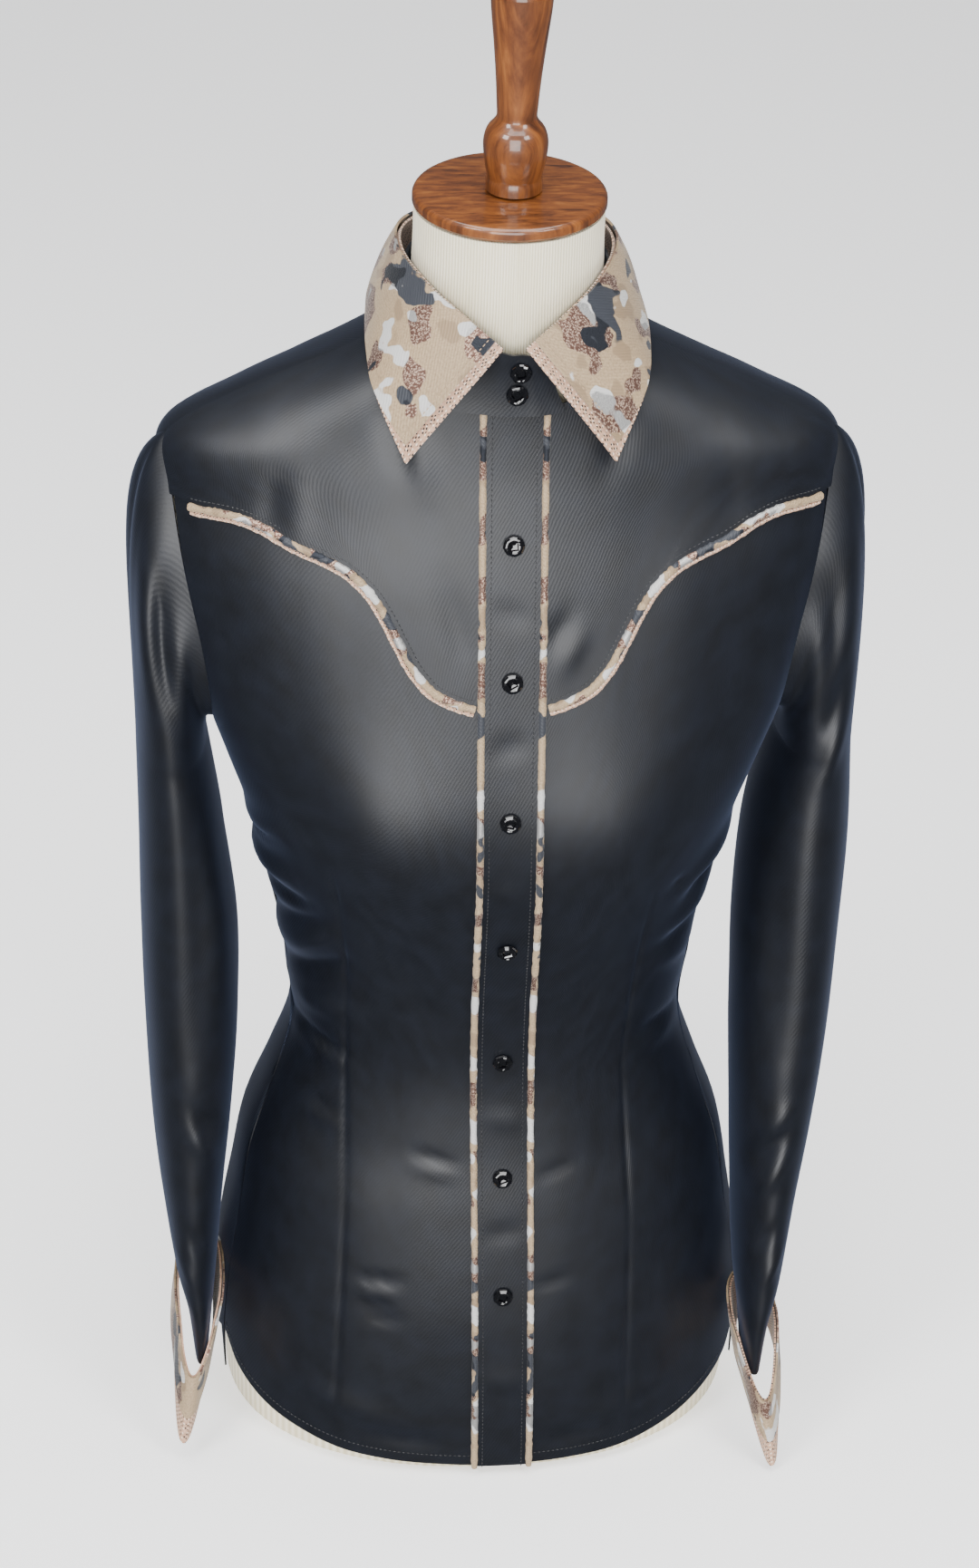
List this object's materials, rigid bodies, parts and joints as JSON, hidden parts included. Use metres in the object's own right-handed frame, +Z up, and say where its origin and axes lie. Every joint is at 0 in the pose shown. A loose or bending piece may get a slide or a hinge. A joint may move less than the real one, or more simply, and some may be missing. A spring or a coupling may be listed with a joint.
{
  "type": "western shirt on dress form",
  "caption": "Fitted long-sleeved western shirt with brocade double collar, cuffs and piped yokes, worn on a limbless jersey-covered dress form with a wooden neck cap.",
  "frame": {"origin": "centre of the dress form's flat underside", "axes": "+Z up along the form, -Y towards the shirt's front, +X towards the right of a viewer who faces the front"},
  "size_m": [0.4482, 0.2636, 0.974],
  "materials": {
    "jersey": "ribbed cream cotton jersey",
    "varnished_wood": "walnut-brown varnish",
    "satin": "blue-black satin",
    "brocade": "tan brocade with charcoal, silver and glitter blotches",
    "under_brocade": "pinkish beige brocade",
    "button_black": "glossy faceted black"
  },
  "bodies": {
    "root": {"form_torso": "jersey", "neck_cap": "varnished_wood", "finial": "varnished_wood", "back": "satin", "front_left": "satin", "front_right": "satin", "yoke_left": "satin", "yoke_right": "satin", "placket": "satin", "placket_piping_left": "brocade", "placket_piping_right": "brocade", "yoke_piping_left": "brocade", "yoke_piping_right": "brocade", "yoke_cord_left": "under_brocade", "yoke_cord_right": "under_brocade", "sleeve_left": "satin", "sleeve_right": "satin", "cuff_under_left": "under_brocade", "cuff_under_right": "under_brocade", "cuff_top_left": "brocade", "cuff_top_right": "brocade", "collar_under": "under_brocade", "collar_top": "brocade", "collar_stand": "satin", "button_1": "button_black", "button_2": "button_black", "button_3": "button_black", "button_4": "button_black", "button_5": "button_black", "button_6": "button_black", "button_7": "button_black", "stand_button_1": "button_black", "stand_button_2": "button_black"}
  },
  "joints": []
}
